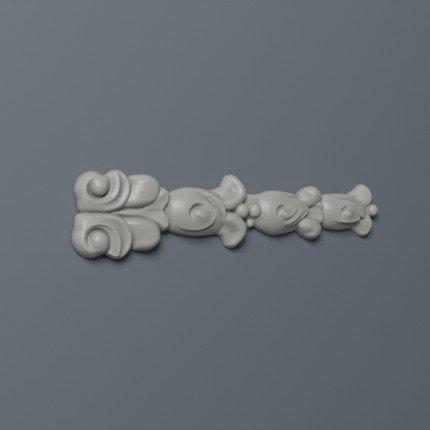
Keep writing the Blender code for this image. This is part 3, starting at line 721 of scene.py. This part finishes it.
def close_back(mesh):
    """Cuts the carving's walls off flat at the back and closes it there."""
    body = bmesh.new()
    body.from_mesh(mesh)
    bmesh.ops.triangulate(body, faces=body.faces[:])
    everything = body.verts[:] + body.edges[:] + body.faces[:]
    bmesh.ops.bisect_plane(
        body, geom=everything, dist=CUT_TOLERANCE, plane_co=(0, 0, 0), plane_no=(0, 1, 0), clear_outer=True
    )
    rim = [edge for edge in body.edges if edge.is_boundary]
    back = bmesh.ops.contextual_create(body, geom=rim)["faces"]
    for face in back:
        face.smooth = False
    bmesh.ops.triangulate(body, faces=[face for face in body.faces if len(face.verts) > 3])
    bmesh.ops.recalc_face_normals(body, faces=body.faces[:])
    is_open = any(not edge.is_manifold for edge in body.edges)
    body.to_mesh(mesh)
    body.free()
    if is_open:
        raise RuntimeError("the casting's back didn't close")


def keep_in_solid_box(mesh):
    """Holds the finer surface to the box of the solid that it stands for."""
    low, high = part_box(NODE)
    points = np.zeros(len(mesh.vertices) * 3, np.float32)
    mesh.vertices.foreach_get("co", points)
    points = np.clip(points.reshape(-1, 3), np.array(low), np.array(high))
    mesh.vertices.foreach_set("co", points.ravel().astype(np.float32))
    mesh.update()


def mottle_group():
    """Shader nodes that vary a colour softly and finely over a surface, and give the height of its grain."""
    tree = bpy.data.node_groups.new(MOTTLE_NAME, "ShaderNodeTree")
    add_socket(tree, "Place", "Vector")
    add_socket(tree, "Colour", "Color", CAST_COLOUR)
    add_socket(tree, "Mottle Colour", "Color", MOTTLE_COLOUR)
    add_socket(tree, "Mottle Scale", "Float", MOTTLE_SCALE)
    add_socket(tree, "Mottle Share", "Float", MOTTLE_SHARE)
    add_socket(tree, "Grain Scale", "Float", GRAIN_SCALE)
    add_socket(tree, "Colour", "Color", out=True)
    add_socket(tree, "Mottle", "Float", out=True)
    add_socket(tree, "Grain", "Float", out=True)
    given = add_node(tree, "NodeGroupInput")
    result = add_node(tree, "NodeGroupOutput")
    clouds = add_node(tree, "ShaderNodeTexNoise")
    clouds.inputs["Detail"].default_value = MOTTLE_DETAIL
    clouds.inputs["Roughness"].default_value = MOTTLE_ROUGHNESS
    grain = add_node(tree, "ShaderNodeTexNoise")
    grain.inputs["Detail"].default_value = GRAIN_DETAIL
    share = add_node(tree, "ShaderNodeMath", operation="MULTIPLY", use_clamp=True)
    blend = add_node(tree, "ShaderNodeMix", data_type="RGBA")
    for source, target in (
        (given.outputs["Place"], clouds.inputs["Vector"]),
        (given.outputs["Mottle Scale"], clouds.inputs["Scale"]),
        (given.outputs["Place"], grain.inputs["Vector"]),
        (given.outputs["Grain Scale"], grain.inputs["Scale"]),
        (clouds.outputs["Fac"], share.inputs[0]),
        (given.outputs["Mottle Share"], share.inputs[1]),
        (share.outputs[0], blend.inputs["Factor"]),
        (given.outputs["Colour"], blend.inputs[MIX_FIRST]),
        (given.outputs["Mottle Colour"], blend.inputs[MIX_SECOND]),
        (blend.outputs[MIX_RESULT], result.inputs["Colour"]),
        (clouds.outputs["Fac"], result.inputs["Mottle"]),
        (grain.outputs["Fac"], result.inputs["Grain"]),
    ):
        tree.links.new(source, target)
    return tree


def mottled(tree, group, colour, mottle_colour, mottle_scale, mottle_share, grain_scale):
    """The mottle group placed in a material's tree, on the object's own coordinates, with these values."""
    place = add_node(tree, "ShaderNodeTexCoord")
    mottle = add_node(tree, "ShaderNodeGroup", node_tree=group)
    for name, value in (
        ("Colour", colour),
        ("Mottle Colour", mottle_colour),
        ("Mottle Scale", mottle_scale),
        ("Mottle Share", mottle_share),
        ("Grain Scale", grain_scale),
    ):
        mottle.inputs[name].default_value = value
    tree.links.new(place.outputs["Object"], mottle.inputs["Place"])
    return mottle


def cast_material(finish, group):
    """Satin casting resin: a soft mottle, a fine grain and a roughness that follows the mottle, with painted
    shade darkening the hollows and a painted highlight lightening the crests.
    """
    material = bpy.data.materials.new("cast_resin")
    material.use_nodes = True
    tree = material.node_tree
    shader = tree.nodes["Principled BSDF"]
    shader.inputs["Specular IOR Level"].default_value = finish.sheen
    mottle = mottled(
        tree, group, finish.colour, finish.mottle_colour, MOTTLE_SCALE, MOTTLE_SHARE, GRAIN_SCALE
    )
    # The hollow measure: positive in hollows, where painted shade goes, negative on crests, where painted
    # highlight goes.
    hollow_for_painted_light = add_node(tree, "ShaderNodeAttribute", attribute_name="hollow_for_painted_light")
    # Share of painted shade, growing with how far a point lies below its surroundings.
    deep = add_node(tree, "ShaderNodeMapRange")
    deep.inputs["To Max"].default_value = finish.painted_shade_share
    # Share of painted highlight, growing with how far a point stands above its surroundings.
    crest = add_node(tree, "ShaderNodeMapRange")
    crest.inputs["From Max"].default_value = -1.0
    crest.inputs["To Max"].default_value = finish.painted_highlight_share
    # Painted shade: the dark colour mixed in by the hollow measure.
    painted_shade_mix = add_node(tree, "ShaderNodeMix", data_type="RGBA")
    painted_shade_mix.inputs[MIX_SECOND].default_value = finish.painted_shade_colour
    # Painted highlight: the light colour mixed in along the crests.
    painted_highlight_mix = add_node(tree, "ShaderNodeMix", data_type="RGBA")
    painted_highlight_mix.inputs[MIX_SECOND].default_value = finish.painted_highlight_colour
    dulled = add_node(tree, "ShaderNodeMapRange")
    dulled.inputs["To Min"].default_value = finish.roughness - ROUGHNESS_SPREAD
    dulled.inputs["To Max"].default_value = finish.roughness + ROUGHNESS_SPREAD
    bump = add_node(tree, "ShaderNodeBump")
    bump.inputs["Strength"].default_value = GRAIN_STRENGTH
    bump.inputs["Distance"].default_value = finish.grain_depth
    for source, target in (
        (hollow_for_painted_light.outputs["Fac"], deep.inputs["Value"]),
        (hollow_for_painted_light.outputs["Fac"], crest.inputs["Value"]),
        (mottle.outputs["Colour"], painted_shade_mix.inputs[MIX_FIRST]),
        (deep.outputs["Result"], painted_shade_mix.inputs["Factor"]),
        (painted_shade_mix.outputs[MIX_RESULT], painted_highlight_mix.inputs[MIX_FIRST]),
        (crest.outputs["Result"], painted_highlight_mix.inputs["Factor"]),
        (painted_highlight_mix.outputs[MIX_RESULT], shader.inputs["Base Color"]),
        (mottle.outputs["Mottle"], dulled.inputs["Value"]),
        (dulled.outputs["Result"], shader.inputs["Roughness"]),
        (mottle.outputs["Grain"], bump.inputs["Height"]),
        (bump.outputs["Normal"], shader.inputs["Normal"]),
    ):
        tree.links.new(source, target)
    return material


def wall_material(stage, group):
    """A matt painted wall that is clear from behind, so that the onlay's back can be seen."""
    material = bpy.data.materials.new("stage_wall")
    material.use_nodes = True
    tree = material.node_tree
    shader = tree.nodes["Principled BSDF"]
    shader.inputs["Roughness"].default_value = WALL_ROUGHNESS
    mottle = mottled(
        tree, group, stage.wall_colour, stage.wall_mottle, WALL_MOTTLE_SCALE, STAGE_MOTTLE_SHARE,
        STAGE_GRAIN_SCALE
    )
    clear = add_node(tree, "ShaderNodeBsdfTransparent")
    facing = add_node(tree, "ShaderNodeNewGeometry")
    either = add_node(tree, "ShaderNodeMixShader")
    output = tree.nodes["Material Output"]
    for source, target in (
        (mottle.outputs["Colour"], shader.inputs["Base Color"]),
        (facing.outputs["Backfacing"], either.inputs["Fac"]),
        (shader.outputs["BSDF"], either.inputs[1]),
        (clear.outputs["BSDF"], either.inputs[2]),
        (either.outputs["Shader"], output.inputs["Surface"]),
    ):
        tree.links.new(source, target)
    return material


def floor_material(stage, group):
    """A pale matt floor."""
    material = bpy.data.materials.new("stage_floor")
    material.use_nodes = True
    tree = material.node_tree
    shader = tree.nodes["Principled BSDF"]
    shader.inputs["Roughness"].default_value = FLOOR_ROUGHNESS
    mottle = mottled(
        tree, group, stage.floor_colour, stage.floor_mottle, FLOOR_MOTTLE_SCALE, STAGE_MOTTLE_SHARE,
        STAGE_GRAIN_SCALE
    )
    tree.links.new(mottle.outputs["Colour"], shader.inputs["Base Color"])
    return material


def add_sheet(name, corners, material):
    """A flat rectangle through four corners, facing the side from which they run anticlockwise."""
    mesh = bpy.data.meshes.new(name)
    mesh.from_pydata([tuple(corner) for corner in corners], [], [(0, 1, 2, 3)])
    mesh.materials.append(material)
    sheet = bpy.data.objects.new(name, mesh)
    bpy.context.scene.collection.objects.link(sheet)
    return sheet


def add_soft_light(name, place, size, power):
    """A square area light that points at the onlay's middle."""
    light = bpy.data.lights.new(name, "AREA")
    light.size = size
    light.energy = power
    lamp = bpy.data.objects.new(name, light)
    lamp.location = place
    lamp.rotation_euler = (LIGHT_AIM - Vector(place)).to_track_quat("-Z", "Y").to_euler()
    bpy.context.scene.collection.objects.link(lamp)
    return lamp


def add_camera():
    """The camera at the photograph's viewing angle: level, and looking from the scroll head's side."""
    camera = bpy.data.cameras.new("camera")
    camera.sensor_width = CAMERA_SENSOR
    camera.lens = CAMERA_LENS
    viewer = bpy.data.objects.new("camera", camera)
    turn = Matrix.Rotation(-CAMERA_TURN, 4, "Z") @ Matrix.Rotation(np.pi / 2, 4, "X")
    lean = Matrix.Rotation(CAMERA_LEAN, 4, "Y")
    viewer.matrix_world = lean @ Matrix.Translation(CAMERA_PLACE) @ turn
    bpy.context.scene.collection.objects.link(viewer)
    bpy.context.scene.camera = viewer
    return viewer


def colour_setting(name, description, default):
    """A colour in the sidebar."""
    return bpy.props.FloatVectorProperty(
        name=name, description=description, default=default, size=4, min=0.0, max=1.0, subtype="COLOR"
    )


def share_setting(name, description, default, least=0.0):
    """A slider in the sidebar that ends at 1."""
    return bpy.props.FloatProperty(
        name=name, description=description, default=default, min=least, max=1.0, subtype="FACTOR"
    )


def length_setting(name, description, default, **limits):
    """A length in the sidebar."""
    return bpy.props.FloatProperty(
        name=name, description=description, default=default, unit="LENGTH", subtype="DISTANCE", **limits
    )


def power_setting(name, description, default):
    """A light's power in the sidebar."""
    return bpy.props.FloatProperty(
        name=name, description=description, default=default, min=0.0, unit="POWER"
    )


def steps_setting(name, description, default, least, most):
    """A count of surface points in the sidebar."""
    return bpy.props.IntProperty(
        name=name, description=description, default=default, min=least, max=most
    )


class OnlaySizes(bpy.types.PropertyGroup):
    """Sizes of the casting's surface."""

    spacing: length_setting(
        "Surface spacing",
        "Distance between neighbouring points of the carved surface",
        SURFACE_SPACING,
        min=0.0002,
        max=0.002,
        precision=5,
    )
    depth: share_setting("Carving depth", "Share of the full height of the carving", 1.0, least=0.1)
    softening: steps_setting(
        "Crease softening",
        "How far the casting fills the creases between its forms, in surface points",
        CREASE_SOFTENING,
        0,
        20,
    )
    # Reach and depth of the measure that places the painted shade in hollows and the painted highlight on
    # crests.
    painted_light_reach: steps_setting(
        "Painted light reach",
        "How far round a hollow its painted shade reaches, in surface points",
        PAINTED_LIGHT_REACH,
        1,
        200,
    )
    painted_light_depth: length_setting(
        "Painted light depth",
        "How far a hollow lies below its surroundings where its painted shade is darkest",
        PAINTED_LIGHT_DEPTH,
        min=0.0001,
        precision=5,
    )


class OnlayFinish(bpy.types.PropertyGroup):
    """Colours and finish of the casting, with its painted shade and painted highlight."""

    colour: colour_setting("Colour", "Main colour of the cast resin", CAST_COLOUR)
    mottle_colour: colour_setting(
        "Mottle colour", "Colour of the soft patches in the resin", MOTTLE_COLOUR
    )
    # Painted shade, darkening the hollows.
    painted_shade_colour: colour_setting("Painted shade colour", "Colour of the painted shade deep in the creases", PAINTED_SHADE_COLOUR)
    painted_shade_share: share_setting(
        "Painted shade tone", "How strongly the painted shade shows in the deepest creases", PAINTED_SHADE_SHARE
    )
    # Painted highlight, lightening the crests.
    painted_highlight_colour: colour_setting("Painted highlight colour", "Colour of the painted highlight along the crests", PAINTED_HIGHLIGHT_COLOUR)
    painted_highlight_share: share_setting(
        "Painted highlight tone", "How strongly the painted highlight shows along the sharpest crests", PAINTED_HIGHLIGHT_SHARE
    )
    roughness: share_setting("Roughness", "Roughness of the satin skin", CAST_ROUGHNESS, least=0.1)
    sheen: share_setting("Gloss level", "Strength of the skin's reflections", CAST_GLOSS)
    grain_depth: length_setting(
        "Grain depth", "Depth of the skin's fine grain", GRAIN_DEPTH, min=0.0, precision=6
    )


class StageSettings(bpy.types.PropertyGroup):
    """The wall, floor and light that the onlay is shown with."""

    wall_colour: colour_setting("Wall colour", "Main colour of the wall behind the onlay", WALL_COLOUR)
    wall_mottle: colour_setting(
        "Wall mottle", "Colour of the soft patches in the wall's paint", WALL_MOTTLE
    )
    floor_colour: colour_setting("Floor colour", "Main colour of the floor", FLOOR_COLOUR)
    floor_mottle: colour_setting(
        "Floor mottle", "Colour of the soft patches in the floor", FLOOR_MOTTLE
    )
    floor_drop: length_setting(
        "Floor drop", "How far the floor lies below the onlay's axis", FLOOR_DROP, min=0.05
    )
    room: length_setting("Room", "Half the width of the wall and floor", ROOM, min=0.5)
    key_power: power_setting(
        "Side light", "Power of the soft light on the scroll head's side", KEY_POWER
    )
    fill_power: power_setting(
        "Front light", "Power of the wide soft light from the front", FILL_POWER
    )
    sky: bpy.props.FloatProperty(
        name="Room light",
        description="Strength of the even light from all around",
        default=SKY_STRENGTH,
        min=0.0,
    )


class ONLAY_OT_make_casting(bpy.types.Operator):
    """Makes the onlay's one casting, in place of the solid"""

    bl_idname = "onlay.make_casting"
    bl_label = "Make Casting"

    def execute(self, context):
        sizes, finish = context.scene.onlay_sizes, context.scene.onlay_finish
        casting = bpy.data.objects.new("onlay_casting", carved_blank(sizes.spacing / MM))
        context.scene.collection.objects.link(casting)
        values = {
            "Depth": sizes.depth,
            "Crease Softening": sizes.softening,
            "Painted Light Reach": sizes.painted_light_reach,
            "Painted Light Depth": sizes.painted_light_depth,
            "Finish": cast_material(finish, mottle_group()),
        }
        casting.data = applied(casting, cast_relief_tree(), values)
        close_back(casting.data)
        keep_in_solid_box(casting.data)
        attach(casting, "root")
        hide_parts(NODE)
        return {"FINISHED"}


class ONLAY_OT_make_stage(bpy.types.Operator):
    """Makes the plain wall, pale floor, soft lights and camera"""

    bl_idname = "onlay.make_stage"
    bl_label = "Make Stage"

    def execute(self, context):
        stage = context.scene.onlay_stage
        group = bpy.data.node_groups.get(MOTTLE_NAME) or mottle_group()
        wide, low = stage.room, -stage.floor_drop
        wall = add_sheet(
            "stage_wall",
            ((-wide, WALL_GAP, low), (wide, WALL_GAP, low), (wide, WALL_GAP, wide), (-wide, WALL_GAP, wide)),
            wall_material(stage, group),
        )
        wall.visible_shadow = False
        floor = add_sheet(
            "stage_floor",
            ((-wide, -wide, low), (wide, -wide, low), (wide, wide, low), (-wide, wide, low)),
            floor_material(stage, group),
        )
        add_soft_light("side_light", KEY_PLACE, KEY_SIZE, stage.key_power)
        add_soft_light("front_light", FILL_PLACE, FILL_SIZE, stage.fill_power)
        world = bpy.data.worlds.new("soft_room")
        world.use_nodes = True
        sky = world.node_tree.nodes["Background"]
        sky.inputs["Color"].default_value = SKY_COLOUR
        sky.inputs["Strength"].default_value = stage.sky
        context.scene.world = world
        add_camera()
        return {"FINISHED"}


class ONLAY_PT_panel(bpy.types.Panel):
    """Lists the onlay's operators and their settings"""

    bl_idname = "ONLAY_PT_panel"
    bl_label = "Drop Onlay"
    bl_space_type = "VIEW_3D"
    bl_region_type = "UI"
    bl_category = "Onlay"

    def draw(self, context):
        scene = context.scene
        for operator, groups in (
            (ONLAY_OT_make_casting, (scene.onlay_sizes, scene.onlay_finish)),
            (ONLAY_OT_make_stage, (scene.onlay_stage,)),
        ):
            box = self.layout.box()
            box.operator(operator.bl_idname)
            for group in groups:
                for name in group.__annotations__:
                    box.prop(group, name)


CLASSES = (
    OnlaySizes,
    OnlayFinish,
    StageSettings,
    ONLAY_OT_make_casting,
    ONLAY_OT_make_stage,
    ONLAY_PT_panel,
)


def register():
    for kind in CLASSES:
        bpy.utils.register_class(kind)
    bpy.types.Scene.onlay_sizes = bpy.props.PointerProperty(type=OnlaySizes)
    bpy.types.Scene.onlay_finish = bpy.props.PointerProperty(type=OnlayFinish)
    bpy.types.Scene.onlay_stage = bpy.props.PointerProperty(type=StageSettings)


def unregister():
    del bpy.types.Scene.onlay_sizes
    del bpy.types.Scene.onlay_finish
    del bpy.types.Scene.onlay_stage
    for kind in reversed(CLASSES):
        bpy.utils.unregister_class(kind)


def main():
    """Makes every piece and the stage."""
    register()
    bpy.ops.onlay.make_casting()
    bpy.ops.onlay.make_stage()


if __name__ == "__main__":
    main()
